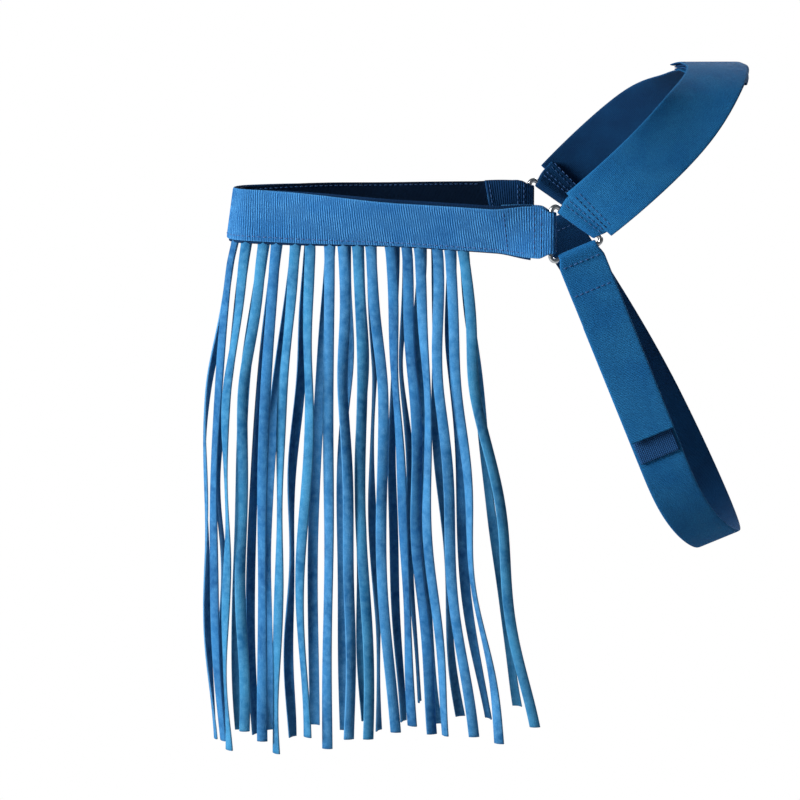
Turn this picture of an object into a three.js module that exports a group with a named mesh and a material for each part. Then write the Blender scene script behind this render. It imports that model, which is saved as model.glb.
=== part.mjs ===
// Fly fringe: a V-shaped webbing browband with a curtain of flat strings, hung on a horse's
// head by a crown strap over the poll and a throat strap, all three sewn round two wire rings.
// Millimetres. +Z is up, -Y is the front (the forehead) and +X is the horse's left.
// The origin is the middle of the crown strap's underside, where it lies on the poll.
import * as THREE from 'three';

// Driving dimensions.
const GAP = 0.3; // between faces that touch on the real object
const WEB = 1.3; // thickness of the webbing, the tape and the strings
const PATCH = 1.1; // thickness of a hook or loop patch
const LAYER = WEB + GAP; // from one layer of a stack to the next
const FOLD = 1.5 * LAYER; // radius of webbing folded round a wire, at mid-thickness
const WIRE = 1.4; // radius of the ring wire
const CORNER = 2.6; // radius of the ring's corners, at the wire's middle
const RING_X = 73.5; // each ring stands this far from the middle plane
const RING_FRONT = 34.5; // browband side of the ring, corner to corner
const RING_REAR = { y: 31, z: -4.5 }; // rear corner, from the middle of the browband side

const BAND_WIDTH = 30;
const BAND_HALF_ANGLE = THREE.MathUtils.degToRad(19.6); // of the V seen from above
const NOSE_RADIUS = 13.5; // of the V's rounded front
const NOSE_RISE = 4; // the front is this much higher than the ends
const NOSE_LEAN = -8; // degrees that the band's top leans outwards at the front
const SIDE_LEAN = 28; // and along its sides
const BAND_TAIL = 28; // length of the end turned back inside
const TAPE_WIDTH = 31;
const TAPE_SHIFT = -1; // the tape shows under the band

const CROWN_WIDTH = 36;
const CROWN_HEIGHT = 117; // of the arch, measured up its slanting plane
const CROWN_FLAT = 10; // half the length of the arch's flat top
const CROWN_SLOPE = THREE.MathUtils.degToRad(42.8); // of the arch's plane
const CROWN_OVERLAP = 38; // each half passes the middle by this much
const LOOP_WIDTH = 30;
const LOOP_LEG = 14; // length of each leg of a crown loop
const STRAP_START = 9; // from the ring wire to the end of the wide strap, which lies on the loop

const THROAT_WIDTH = 27;
const THROAT_DROP = 129; // straight part of the throat strap, each side
const THROAT_TAIL = 26;
const THROAT_SKEW = 22; // the strap swings back by this much towards the right ring
const TAB_LENGTH = 115; // short throat strap on the left ring
const LONG_END = 42; // the long throat strap stops this far from the left ring

const STRINGS = 16; // on each half of the band
const STRING_WIDTH = 6.4;
const STRING_FIRST = 7; // from the middle of the front to the first string
const STRING_PITCH = 9.2;
const STRING_STEPS = 16;
const STRING_GAP = 0.9; // between the tape and a string, so that the string can swing
const STRING_DROP = 296; // the strings' usual length
const STRING_SETTLE = 9; // a string turns from the band's lean to vertical over this length

// How each string hangs, from the front one to the rear one: how far its top lies from its even
// place, the length that it has over the usual, how far back its end lies, and how far back its
// middle bows.
const HANG = {
  left: {
    shift: [0, -1.5, -0.6, -2, 0, -0.2, 1.7, 0.4, -0.4, -1.7, 0.7, 1.5, -0.2, 1.7, -0.2, -1.5],
    extra: [5, 9, -3, 2, 10, -1, 7, 1, 1, -4, -8, -4, -4, -5, -1, -12],
    back: [-8, -10, -11, -9, -11, -7, -3, 5, 5, 10, 13, 15, 15, 21, 29, 43],
    bow: [-9, -6.5, -7, -5, -5, -3, -1, 2, 1, 0, 1, -2, -1, -3, -2, 3],
  },
  right: {
    shift: [1, -0.5, 1, -0.5, 1.5, 0, 3.5, 3.5, 2, 0.5, 6, 4.5, 5, 5, 6, 4.5],
    extra: [9, 12, 6, 10, 7, 12, 5, 9, 4, 11, 6, -6, 9, 5, 8, 1],
    back: [-12, -12.5, -16, -15.5, -17, -13.5, -12, -5, 0, 3, 3, 9.5, 10.5, 14.5, 21.5, 34],
    bow: [-11, -11, -11, -9.5, -9.5, -6.5, -6, -3, -1.5, -2, -4.5, -3.5, -4.5, -4.5, -5.5, -2],
  },
};

const UP = new THREE.Vector3(0, 0, 1);
const BACK = new THREE.Vector3(0, 1, 0);
const { smoothstep, lerp, degToRad } = THREE.MathUtils;

// ---- Materials ----

function finish(color, roughness, metalness = 0) {
  return new THREE.MeshStandardMaterial({ color, roughness, metalness });
}

const webbing = () => finish(0x2a6cb4, 0.85);
const suede = () => finish(0x3f84c4, 0.95);
const patch = () => finish(0x17406f, 0.95);
const steel = () => finish(0xc8ccd0, 0.25, 1);

// ---- Strips: boxes with one section at each station of a route ----

// A route is a list of { point, across, width }. The box's sections follow it, and each is
// split across into as many parts as the route's twist needs.
function stripGeometry(route, thickness, split) {
  const last = route.length - 1;
  const geometry = new THREE.BoxGeometry(1, 1, last, split, 1, last);
  const place = geometry.attributes.position;
  const outs = route.map((station, i) => {
    const before = route[Math.max(i - 1, 0)].point;
    const after = route[Math.min(i + 1, last)].point;
    return after.clone().sub(before).cross(station.across).normalize();
  });
  for (let i = 0; i < place.count; i += 1) {
    const at = Math.round(place.getZ(i) + last / 2);
    const { point, across, width } = route[at];
    const corner = point.clone();
    corner.addScaledVector(across, place.getX(i) * width);
    corner.addScaledVector(outs[at], place.getY(i) * thickness);
    place.setXYZ(i, corner.x, corner.y, corner.z);
  }
  geometry.computeVertexNormals();
  return geometry;
}

function range(from, to, step) {
  const count = Math.max(1, Math.ceil(Math.abs(to - from) / step));
  return Array.from({ length: count + 1 }, (_, i) => lerp(from, to, i / count));
}

// Round a wire from one leg to the other: side -1 is the inner leg and +1 the outer one.
function foldRoute({ centre, across, away, out, width }) {
  const turns = range(-80, 80, 20).map(degToRad);
  return turns.map((turn) => ({
    point: centre
      .clone()
      .addScaledVector(away, -FOLD * Math.cos(turn))
      .addScaledVector(out, FOLD * Math.sin(turn)),
    across,
    width,
  }));
}

// ---- The rings ----

// Corners of the wire triangle in its plane, as (y, z), anticlockwise seen from +X.
const ringCorners = {
  rear: new THREE.Vector2(RING_REAR.y, RING_REAR.z),
  top: new THREE.Vector2(0, RING_FRONT / 2),
  low: new THREE.Vector2(0, -RING_FRONT / 2),
};

// One side of the ring: its middle, its direction and the direction away from the ring.
function ringSide(from, to) {
  const along = to.clone().sub(from).normalize();
  return {
    middle: from.clone().add(to).multiplyScalar(0.5),
    along,
    away: new THREE.Vector2(along.y, -along.x),
  };
}

const crownSide = ringSide(ringCorners.rear, ringCorners.top);
const frontSide = ringSide(ringCorners.top, ringCorners.low);
const throatSide = ringSide(ringCorners.low, ringCorners.rear);

// The middle of the ring's browband side, as (y, z).
const ringPlace = new THREE.Vector2(
  -CROWN_HEIGHT * Math.cos(CROWN_SLOPE),
  WEB / 2 - CROWN_HEIGHT * Math.sin(CROWN_SLOPE),
).sub(crownSide.middle);

// A point (y, z) of a ring's plane, or a direction in it when x is 0.
function inPlane(x, at) {
  return new THREE.Vector3(x, at.x, at.y);
}

// The wire's middle at each step round the ring, with the direction out of the ring.
function ringStations() {
  const corners = [
    [ringCorners.top, crownSide, frontSide],
    [ringCorners.low, frontSide, throatSide],
    [ringCorners.rear, throatSide, crownSide],
  ];
  const steps = 6;
  return corners.flatMap(([corner, before, after]) => {
    const turn = before.away.angleTo(after.away);
    const inset = CORNER / (1 + Math.cos(turn));
    const middle = corner.clone().sub(before.away.clone().add(after.away).multiplyScalar(inset));
    return Array.from({ length: steps + 1 }, (_, i) => {
      const out = before.away.clone().rotateAround(new THREE.Vector2(), (turn * i) / steps);
      return { middle: middle.clone().addScaledVector(out, CORNER), out };
    });
  });
}

// A torus moved onto the rounded triangle.
function ringGeometry() {
  const stations = ringStations();
  const radius = 10;
  const geometry = new THREE.TorusGeometry(radius, WIRE, 10, stations.length);
  const place = geometry.attributes.position;
  for (let i = 0; i < place.count; i += 1) {
    const turn = Math.atan2(place.getY(i), place.getX(i)) / (2 * Math.PI);
    const at = Math.round((turn + 1) * stations.length) % stations.length;
    const { middle, out } = stations[at];
    const offset = Math.hypot(place.getX(i), place.getY(i)) - radius;
    place.setXYZ(i, place.getZ(i), middle.x + out.x * offset, middle.y + out.y * offset);
  }
  geometry.computeVertexNormals();
  return geometry;
}

// ---- The browband ----

const BAND_ARC = NOSE_RADIUS * (Math.PI / 2 - BAND_HALF_ANGLE);
const BAND_SIDE =
  (RING_X - NOSE_RADIUS * Math.cos(BAND_HALF_ANGLE)) / Math.sin(BAND_HALF_ANGLE);
const BAND_HALF = BAND_ARC + BAND_SIDE;
const NOSE_Y =
  ringPlace.x - BAND_SIDE * Math.cos(BAND_HALF_ANGLE) + NOSE_RADIUS * Math.sin(BAND_HALF_ANGLE);

function bandLean(distance) {
  const twist = smoothstep(distance, 0, 112);
  const back = smoothstep(distance, 164, BAND_HALF - 3);
  return degToRad(lerp(NOSE_LEAN, SIDE_LEAN, twist) * (1 - back));
}

// The band's frame at a distance along it from the front: left is positive.
function bandFrame(along) {
  const side = Math.sign(along) || 1;
  const distance = Math.abs(along);
  const turn = Math.min(distance, BAND_ARC) / NOSE_RADIUS;
  const straight = Math.max(distance - BAND_ARC, 0);
  const flat = new THREE.Vector3(side * Math.sin(turn), -Math.cos(turn), 0);
  const forward = new THREE.Vector3(Math.cos(turn), side * Math.sin(turn), 0);
  const rise = NOSE_RISE * (1 - (distance / BAND_HALF) ** 2);
  const point = new THREE.Vector3(0, NOSE_Y, ringPlace.y + rise)
    .addScaledVector(flat, NOSE_RADIUS)
    .addScaledVector(forward, side * straight);
  const lean = bandLean(distance);
  return {
    point,
    forward,
    flat,
    lean,
    up: UP.clone().multiplyScalar(Math.cos(lean)).addScaledVector(flat, Math.sin(lean)),
    out: flat.clone().multiplyScalar(Math.cos(lean)).addScaledVector(UP, -Math.sin(lean)),
  };
}

function bandPoint(along, height, depth) {
  const { point, up, out } = bandFrame(along);
  return point.addScaledVector(up, height).addScaledVector(out, depth);
}

// Distances along the band, closer together where it bends or twists.
function bandStops(from, to) {
  const even = 112;
  const twist = 160;
  const stops = [
    ...range(-BAND_HALF, -twist, 2.2),
    ...range(-twist, -even, 16),
    ...range(-even, -BAND_ARC, 5),
    ...range(-BAND_ARC, BAND_ARC, 2.8),
    ...range(BAND_ARC, even, 5),
    ...range(even, twist, 16),
    ...range(twist, BAND_HALF, 2.2),
  ].filter((stop) => stop > from + 1 && stop < to - 1);
  return [from, ...stops.filter((stop, i) => i === 0 || stop - stops[i - 1] > 0.01), to];
}

function bandRoute(from, to, depth, width, height = 0) {
  return bandStops(from, to).map((along) => ({
    point: bandPoint(along, height, depth),
    across: bandFrame(along).up,
    width: typeof width === 'function' ? width(BAND_HALF - Math.abs(along)) : width,
  }));
}

const BAND_PINCH = 23.6; // width of the band where it turns round the wire

// Webbing is gathered where it passes round a ring side that is shorter than its width.
function gathered(width, pinch) {
  return (distance) => lerp(pinch, width, smoothstep(distance, -1, 7));
}

function bandFold(side) {
  const { point, forward, flat } = bandFrame(side * BAND_HALF);
  const away = forward.multiplyScalar(-side);
  return foldRoute({ centre: point, across: UP, away, out: flat, width: BAND_PINCH });
}

function browbandWeb() {
  const width = gathered(BAND_WIDTH, BAND_PINCH);
  const tail = (side) => bandRoute(
    side < 0 ? -BAND_HALF : BAND_HALF - BAND_TAIL,
    side < 0 ? BAND_TAIL - BAND_HALF : BAND_HALF,
    -FOLD,
    width,
  );
  return [
    ...tail(-1).reverse(),
    ...bandFold(-1),
    ...bandRoute(-BAND_HALF, BAND_HALF, FOLD, width),
    ...bandFold(1).reverse(),
    ...tail(1).reverse(),
  ];
}

// ---- The crown strap, an arch in a slanting plane ----

// Centres of the arch's two round parts, up the plane, and their radius.
const CROWN_REACH = RING_X - CROWN_FLAT;
const CROWN_CENTRE = (CROWN_HEIGHT ** 2 - CROWN_REACH ** 2) / (2 * CROWN_HEIGHT);
const CROWN_RADIUS = CROWN_HEIGHT - CROWN_CENTRE;
const CROWN_TURN = Math.PI / 2 + Math.asin(CROWN_CENTRE / CROWN_RADIUS);
const CROWN_ARC = CROWN_RADIUS * CROWN_TURN;
const CROWN_HALF = CROWN_ARC + CROWN_FLAT;
const crownStart = ringPlace.clone().add(crownSide.middle);

// The arch's middle surface: along is measured from the left ring wire, lift outwards.
function crownPoint(along, lift) {
  const side = along <= CROWN_HALF ? 1 : -1;
  const distance = side > 0 ? along : 2 * CROWN_HALF - along;
  const turn = Math.min(distance, CROWN_ARC) / CROWN_RADIUS - CROWN_TURN + Math.PI / 2;
  const flat = Math.max(distance - CROWN_ARC, 0);
  const x = side * (CROWN_FLAT + (CROWN_RADIUS + lift) * Math.cos(turn) - flat);
  const height = CROWN_CENTRE + (CROWN_RADIUS + lift) * Math.sin(turn);
  const y = crownStart.x + height * Math.cos(CROWN_SLOPE);
  const z = crownStart.y + height * Math.sin(CROWN_SLOPE);
  return new THREE.Vector3(x, y, z);
}

function crownTangent(along) {
  return crownPoint(along + 0.5, 0).sub(crownPoint(along - 0.5, 0)).normalize();
}

// The strap's width lies along the ring side at the ring and level, front to back, on the poll.
function crownAcross(along) {
  const distance = Math.min(along, 2 * CROWN_HALF - along);
  const start = Math.atan2(-crownSide.along.y, -crownSide.along.x);
  const angle = -start * (1 - smoothstep(distance, 40, CROWN_ARC - 36));
  const across = new THREE.Vector3(0, Math.cos(angle), -Math.sin(angle));
  const tangent = crownTangent(along);
  return across.addScaledVector(tangent, -across.dot(tangent) * smoothstep(distance, 0, 12));
}

// Lift is measured square to the strap, which twists as it nears the poll.
function crownStation(along, lift, width) {
  const across = crownAcross(along).normalize();
  const out = crownTangent(along).cross(across).normalize();
  const point = crownPoint(along, 0);
  if (out.dot(crownPoint(along, 1).sub(point)) < 0) out.negate();
  return { point: point.addScaledVector(out, lift), across, width };
}

function crownRoute(from, to, lift, width) {
  const flat = [CROWN_ARC, CROWN_ARC + CROWN_FLAT, CROWN_ARC + 2 * CROWN_FLAT];
  const stops = [...range(from, to, 6), ...flat.filter((stop) => stop > from && stop < to)];
  return stops
    .sort((a, b) => a - b)
    .filter((stop, i, all) => i === 0 || stop - all[i - 1] > 0.01)
    .map((along) => crownStation(along, lift(along), width(along)));
}

const CROWN_PINCH = 25.8;
const PATCH_STEP = GAP + PATCH;
const LOOP_PATCH_LIFT = WEB / 2 + GAP + PATCH / 2;
const HOOK_PATCH_LIFT = LOOP_PATCH_LIFT + PATCH_STEP;
const CROWN_LIFT = HOOK_PATCH_LIFT + PATCH / 2 + GAP + WEB / 2;

// Near a ring the wide strap lies on the loop, and the left half climbs over the right one's end.
function leftLift(along) {
  const climb = smoothstep(along, LOOP_LEG + 6, CROWN_HALF - CROWN_OVERLAP - 6);
  return lerp(LAYER, CROWN_LIFT, climb);
}

function rightLift(along) {
  const distance = 2 * CROWN_HALF - along;
  return LAYER * (1 - smoothstep(distance, LOOP_LEG + 6, CROWN_HALF - CROWN_OVERLAP - 6));
}

function crownRingLoop(side) {
  const far = 2 * CROWN_HALF;
  const at = (distance) => (side > 0 ? distance : far - distance);
  const away = (along) => Math.min(along, far - along);
  const width = (along) => gathered(LOOP_WIDTH, CROWN_PINCH)(away(along));
  const close = (along) => smoothstep(away(along), 0, 8);
  const ends = [at(0), at(LOOP_LEG)].sort((a, b) => a - b);
  const outer = crownRoute(...ends, (along) => lerp(FOLD, 0, close(along)), width);
  const inner = crownRoute(...ends, (along) => -lerp(FOLD, LAYER, close(along)), width);
  const { point: centre, across } = crownStation(at(0), 0, 0);
  const out = crownStation(at(0), 1, 0).point.sub(centre);
  const leave = across.clone().cross(out).normalize();
  if (leave.dot(crownPoint(at(5), 0).sub(centre)) < 0) leave.negate();
  const fold = foldRoute({ centre, across, away: leave, out, width: CROWN_PINCH });
  if (side < 0) {
    outer.reverse();
    inner.reverse();
  }
  return [...inner.reverse(), ...fold, ...outer];
}

// ---- The throat strap, a U in the plane square to the ring's throat side ----

const THROAT_ARC = Math.PI * RING_X;
const THROAT_LENGTH = 2 * THROAT_DROP + THROAT_ARC;
const throatStart = ringPlace.clone().add(throatSide.middle);
const throatAcross = inPlane(0, throatSide.along);

// Along is measured from the left ring wire, lift outwards.
function throatPoint(along, lift) {
  const round = THREE.MathUtils.clamp(along - THROAT_DROP, 0, THROAT_ARC);
  const turn = round / RING_X;
  const straight = Math.min(along, THROAT_DROP) - Math.max(along - THROAT_DROP - THROAT_ARC, 0);
  const x = (RING_X + lift) * Math.cos(turn);
  const drop = straight + (RING_X + lift) * Math.sin(turn);
  const share = Math.max(along - THROAT_DROP, 0) / (THROAT_LENGTH - THROAT_DROP);
  const skew = THROAT_SKEW * Math.sin(Math.PI * share) * smoothstep(share, 0, 0.3);
  const at = throatStart
    .clone()
    .addScaledVector(throatSide.away, drop)
    .addScaledVector(throatSide.along, skew);
  return inPlane(x, at);
}

function throatRoute(from, to, lift, width) {
  return range(from, to, 7).map((along) => ({
    point: throatPoint(along, lift(along)),
    across: throatAcross,
    width: width(along),
  }));
}

const THROAT_PINCH = 22.8;
const throatWidth = (along) => gathered(THROAT_WIDTH, THROAT_PINCH)(
  Math.min(along, THROAT_LENGTH - along),
);
// The legs close up behind the wire.
const legLift = (along) => {
  const distance = Math.min(along, THROAT_LENGTH - along);
  return lerp(FOLD, LAYER / 2, smoothstep(distance, 0, 9));
};

function throatFold(side) {
  return foldRoute({
    centre: throatPoint(side > 0 ? 0 : THROAT_LENGTH, 0),
    across: throatAcross,
    away: inPlane(0, throatSide.away),
    out: new THREE.Vector3(side, 0, 0),
    width: THROAT_PINCH,
  });
}

const THROAT_HOOK_LIFT = LAYER / 2 - WEB / 2 - GAP - PATCH / 2;
const THROAT_LOOP_LIFT = THROAT_HOOK_LIFT - PATCH_STEP;
const LONG_LIFT = THROAT_LOOP_LIFT - PATCH / 2 - GAP - WEB / 2;

function throatTab() {
  return [
    ...throatRoute(0, THROAT_TAIL, (along) => -legLift(along), throatWidth).reverse(),
    ...throatFold(1),
    ...throatRoute(0, TAB_LENGTH, legLift, throatWidth),
  ];
}

function throatLong() {
  const lift = (along) => (along > THROAT_LENGTH - THROAT_DROP
    ? legLift(along)
    : lerp(LONG_LIFT, LAYER / 2, smoothstep(along, THROAT_DROP + 15, THROAT_DROP + 110)));
  return [
    ...throatRoute(LONG_END, THROAT_LENGTH, lift, throatWidth),
    ...throatFold(-1).reverse(),
    ...throatRoute(
      THROAT_LENGTH - THROAT_TAIL,
      THROAT_LENGTH,
      (along) => -legLift(along),
      throatWidth,
    ).reverse(),
  ];
}

// ---- The strings ----

function stringRoute(side, number) {
  const hang = HANG[side > 0 ? 'left' : 'right'];
  const along = side * (STRING_FIRST + STRING_PITCH * number + hang.shift[number]);
  const { forward, flat, lean } = bandFrame(along);
  const exit = BAND_WIDTH / 2 + (TAPE_WIDTH - BAND_WIDTH) / 2 - TAPE_SHIFT + STRING_GAP;
  const top = bandPoint(along, -exit, LAYER / 2);
  const length = STRING_DROP + hang.extra[number];
  return range(0, 1, 1 / STRING_STEPS).map((share) => {
    const drop = share * length;
    const back = hang.back[number] * share ** 1.3 + hang.bow[number] * Math.sin(Math.PI * share);
    const settle = -Math.tan(lean) * STRING_SETTLE * (1 - Math.exp(-drop / STRING_SETTLE));
    return {
      point: top
        .clone()
        .addScaledVector(UP, -drop)
        .addScaledVector(BACK, back)
        .addScaledVector(flat, settle),
      across: forward,
      width: STRING_WIDTH,
    };
  });
}

// ---- The scene ----

const flyFringe = new THREE.Group();

function add(name, geometry, material) {
  const mesh = new THREE.Mesh(geometry, material);
  mesh.name = name;
  flyFringe.add(mesh);
  return mesh;
}

function addStrip(name, route, material, { thickness = WEB, split = 1 } = {}) {
  return add(name, stripGeometry(route, thickness, split), material);
}

function addRing(name, side) {
  const ring = add(name, ringGeometry(), steel());
  ring.position.copy(inPlane(side * RING_X, ringPlace));
}

const constant = (value) => () => value;

addRing('ring_left', 1);
addRing('ring_right', -1);

const TAPE_END = BAND_HALF - 12;
const twisted = { split: 3 };
const tapeRoute = bandRoute(-TAPE_END, TAPE_END, LAYER / 2, TAPE_WIDTH, TAPE_SHIFT);
const liningRoute = bandRoute(-TAPE_END, TAPE_END, -LAYER / 2, BAND_WIDTH);
addStrip('browband_web', browbandWeb(), webbing(), twisted);
addStrip('fringe_tape', tapeRoute, webbing(), twisted);
addStrip('browband_lining', liningRoute, webbing(), twisted);

const crownFar = 2 * CROWN_HALF;
const crownWidth = constant(CROWN_WIDTH);
const patchWidth = constant(CROWN_WIDTH - 4);
const patchStart = CROWN_HALF - CROWN_OVERLAP + 2;
const patchEnd = CROWN_HALF + CROWN_OVERLAP - 2;
addStrip('crown_ring_loop_left', crownRingLoop(1), webbing());
addStrip('crown_ring_loop_right', crownRingLoop(-1), webbing());
addStrip(
  'crown_strap_left',
  crownRoute(STRAP_START, CROWN_HALF + CROWN_OVERLAP, leftLift, crownWidth),
  webbing(),
  twisted,
);
addStrip(
  'crown_strap_right',
  crownRoute(CROWN_HALF - CROWN_OVERLAP, crownFar - STRAP_START, rightLift, crownWidth),
  webbing(),
  twisted,
);
addStrip(
  'crown_hook_patch',
  crownRoute(patchStart, patchEnd, constant(HOOK_PATCH_LIFT), patchWidth),
  patch(),
  { thickness: PATCH },
);
addStrip(
  'crown_loop_patch',
  crownRoute(patchStart, patchEnd, constant(LOOP_PATCH_LIFT), patchWidth),
  patch(),
  { thickness: PATCH },
);

const throatPatchWidth = constant(THROAT_WIDTH - 3);
addStrip('throat_tab_left', throatTab(), webbing());
addStrip('throat_strap_right', throatLong(), webbing());
addStrip(
  'throat_hook_patch',
  throatRoute(52, TAB_LENGTH - 3, constant(THROAT_HOOK_LIFT), throatPatchWidth),
  patch(),
  { thickness: PATCH },
);
addStrip(
  'throat_loop_patch',
  throatRoute(LONG_END + 3, THROAT_DROP, constant(THROAT_LOOP_LIFT), throatPatchWidth),
  patch(),
  { thickness: PATCH },
);

for (const side of [1, -1]) {
  for (let number = 0; number < STRINGS; number += 1) {
    const place = String(number + 1).padStart(2, '0');
    const name = `string_${side > 0 ? 'left' : 'right'}_${place}`;
    addStrip(name, stringRoute(side, number), suede());
  }
}

export default flyFringe;
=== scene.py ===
"""Fly fringe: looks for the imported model, in its own frame.

Shapes are worked out in millimetres by the same routes as the CAD source, and scaled to
metres when a mesh is made. +Z is up, -Y is the front and +X is the horse's left.
"""

import math
import random

import bpy
import numpy as np
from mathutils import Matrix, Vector


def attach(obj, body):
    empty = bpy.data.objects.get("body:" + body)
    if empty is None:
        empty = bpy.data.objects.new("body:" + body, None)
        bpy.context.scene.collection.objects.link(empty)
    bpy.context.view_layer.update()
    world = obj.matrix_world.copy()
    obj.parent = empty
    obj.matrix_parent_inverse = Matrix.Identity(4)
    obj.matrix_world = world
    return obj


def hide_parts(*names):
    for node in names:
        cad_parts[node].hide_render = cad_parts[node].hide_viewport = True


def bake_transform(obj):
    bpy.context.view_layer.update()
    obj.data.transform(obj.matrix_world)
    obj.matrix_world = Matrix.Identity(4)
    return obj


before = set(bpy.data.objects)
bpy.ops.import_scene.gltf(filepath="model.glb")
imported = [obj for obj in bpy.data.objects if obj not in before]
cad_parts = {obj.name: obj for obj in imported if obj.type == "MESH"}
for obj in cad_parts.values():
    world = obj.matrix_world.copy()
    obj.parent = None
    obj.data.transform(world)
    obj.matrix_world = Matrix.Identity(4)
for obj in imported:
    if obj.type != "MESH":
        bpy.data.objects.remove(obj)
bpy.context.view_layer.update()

MM = 0.001
UP = Vector((0, 0, 1))
BACK = Vector((0, 1, 0))

# Driving dimensions, as in the CAD source.
GAP = 0.3  # between faces that touch on the real object
WEB = 1.3  # thickness of the webbing, the tape and the strings
PATCH = 1.1  # thickness of a hook or loop patch
LAYER = WEB + GAP  # from one layer of a stack to the next
FOLD = 1.5 * LAYER  # radius of webbing folded round a wire, at mid-thickness
WIRE = 1.4  # radius of the ring wire
CORNER = 2.6  # radius of the ring's corners, at the wire's middle
RING_X = 73.5
RING_FRONT = 34.5
RING_REAR = Vector((31, -4.5))

BAND_WIDTH = 30
BAND_HALF_ANGLE = math.radians(19.6)
NOSE_RADIUS = 13.5
NOSE_RISE = 4
NOSE_LEAN = -8
SIDE_LEAN = 28
BAND_TAIL = 28
BAND_PINCH = 23.6
TAPE_WIDTH = 31
TAPE_SHIFT = -1

CROWN_WIDTH = 36
CROWN_HEIGHT = 117
CROWN_FLAT = 10
CROWN_SLOPE = math.radians(42.8)
CROWN_OVERLAP = 38
CROWN_PINCH = 25.8
LOOP_WIDTH = 30
LOOP_LEG = 14
STRAP_START = 9

THROAT_WIDTH = 27
THROAT_DROP = 129
THROAT_TAIL = 26
THROAT_PINCH = 22.8
THROAT_SKEW = 22
TAB_LENGTH = 115
LONG_END = 42

STRINGS = 16
STRING_WIDTH = 6.4
STRING_FIRST = 7
STRING_PITCH = 9.2
STRING_GAP = 0.9
STRING_DROP = 296
STRING_SETTLE = 9
HANG = {
    1: {
        "shift": [0, -1.5, -0.6, -2, 0, -0.2, 1.7, 0.4, -0.4, -1.7, 0.7, 1.5, -0.2, 1.7, -0.2, -1.5],
        "extra": [5, 9, -3, 2, 10, -1, 7, 1, 1, -4, -8, -4, -4, -5, -1, -12],
        "back": [-8, -10, -11, -9, -11, -7, -3, 5, 5, 10, 13, 15, 15, 21, 29, 43],
        "bow": [-9, -6.5, -7, -5, -5, -3, -1, 2, 1, 0, 1, -2, -1, -3, -2, 3],
    },
    -1: {
        "shift": [1, -0.5, 1, -0.5, 1.5, 0, 3.5, 3.5, 2, 0.5, 6, 4.5, 5, 5, 6, 4.5],
        "extra": [9, 12, 6, 10, 7, 12, 5, 9, 4, 11, 6, -6, 9, 5, 8, 1],
        "back": [-12, -12.5, -16, -15.5, -17, -13.5, -12, -5, 0, 3, 3, 9.5, 10.5, 14.5, 21.5, 34],
        "bow": [-11, -11, -11, -9.5, -9.5, -6.5, -6, -3, -1.5, -2, -4.5, -3.5, -4.5, -4.5, -5.5, -2],
    },
}

# Dimensions that only the looks have.
RIB_PITCH = 1.4
RIB_DEPTH = 0.2
STRAP_RIB_PITCH = 0.9
CLOTH = WEB - 0.1  # thickness of the webbing and the laces as they are drawn
FINE_STEP = 0.28  # along webbing whose ribs are modelled
PLAIN_STEP = 1
TAPE_THICKNESS = 0.6
TAPE_DEPTH = 1.25  # the tape and the lining lie this far each side of the strings' tops
STRING_SEWN = 11  # length of a string's end inside the band
SEWN_LOW = -17.4  # height on the band at which the sewn end stops
LACE_BOW = 0.9  # a lace's edges curl away from its face by this much
STRING_BEND = 30  # length below a string's exit over which it would bend when it swings; the bend's ends are worked out but not used
THREAD = 0.3  # radius of the stitching thread
STITCH_LENGTH = 2.5
STITCH_PITCH = 3.3
STITCH_INSET = 1.5  # from the end of a cross row to the webbing's edge
ROW_HEIGHTS = (-12.2, 13)  # of the long stitch rows on the band
HEAD_MIDDLE = np.array((0, -100, -110))  # the webbing's inner faces look towards it


def smoothstep(x, low, high):
    t = min(max((x - low) / (high - low), 0.0), 1.0)
    return t * t * (3 - 2 * t)


def lerp(a, b, t):
    return a + (b - a) * t


def metres(point):
    return tuple(c * MM for c in point)


def span(start, end, step):
    """Numbers from start to end, about step apart, with both ends."""
    count = max(1, math.ceil(abs(end - start) / step))
    return [lerp(start, end, i / count) for i in range(count + 1)]


# ---- Routes, as in the CAD source: lists of (point, across, width) ----


def in_plane(x, at):
    return Vector((x, at.x, at.y))


def ring_side(start, end):
    """Middle of a ring side, its direction and the direction away from the ring, as (y, z)."""
    along = (end - start).normalized()
    return (start + end) / 2, along, Vector((along.y, -along.x))


RING_TOP = Vector((0, RING_FRONT / 2))
RING_LOW = Vector((0, -RING_FRONT / 2))
CROWN_SIDE = ring_side(RING_REAR, RING_TOP)
FRONT_SIDE = ring_side(RING_TOP, RING_LOW)
THROAT_SIDE = ring_side(RING_LOW, RING_REAR)
RING_MIDDLE = (
    Vector(
        (
            -CROWN_HEIGHT * math.cos(CROWN_SLOPE),
            WEB / 2 - CROWN_HEIGHT * math.sin(CROWN_SLOPE),
        )
    )
    - CROWN_SIDE[0]
)

BAND_ARC = NOSE_RADIUS * (math.pi / 2 - BAND_HALF_ANGLE)
BAND_SIDE = (RING_X - NOSE_RADIUS * math.cos(BAND_HALF_ANGLE)) / math.sin(BAND_HALF_ANGLE)
BAND_HALF = BAND_ARC + BAND_SIDE
NOSE_Y = (
    RING_MIDDLE.x
    - BAND_SIDE * math.cos(BAND_HALF_ANGLE)
    + NOSE_RADIUS * math.sin(BAND_HALF_ANGLE)
)
TAPE_END = BAND_HALF - 12


def band_lean(distance):
    twist = smoothstep(distance, 0, 112)
    back = smoothstep(distance, 164, BAND_HALF - 3)
    return math.radians(lerp(NOSE_LEAN, SIDE_LEAN, twist) * (1 - back))


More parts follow.
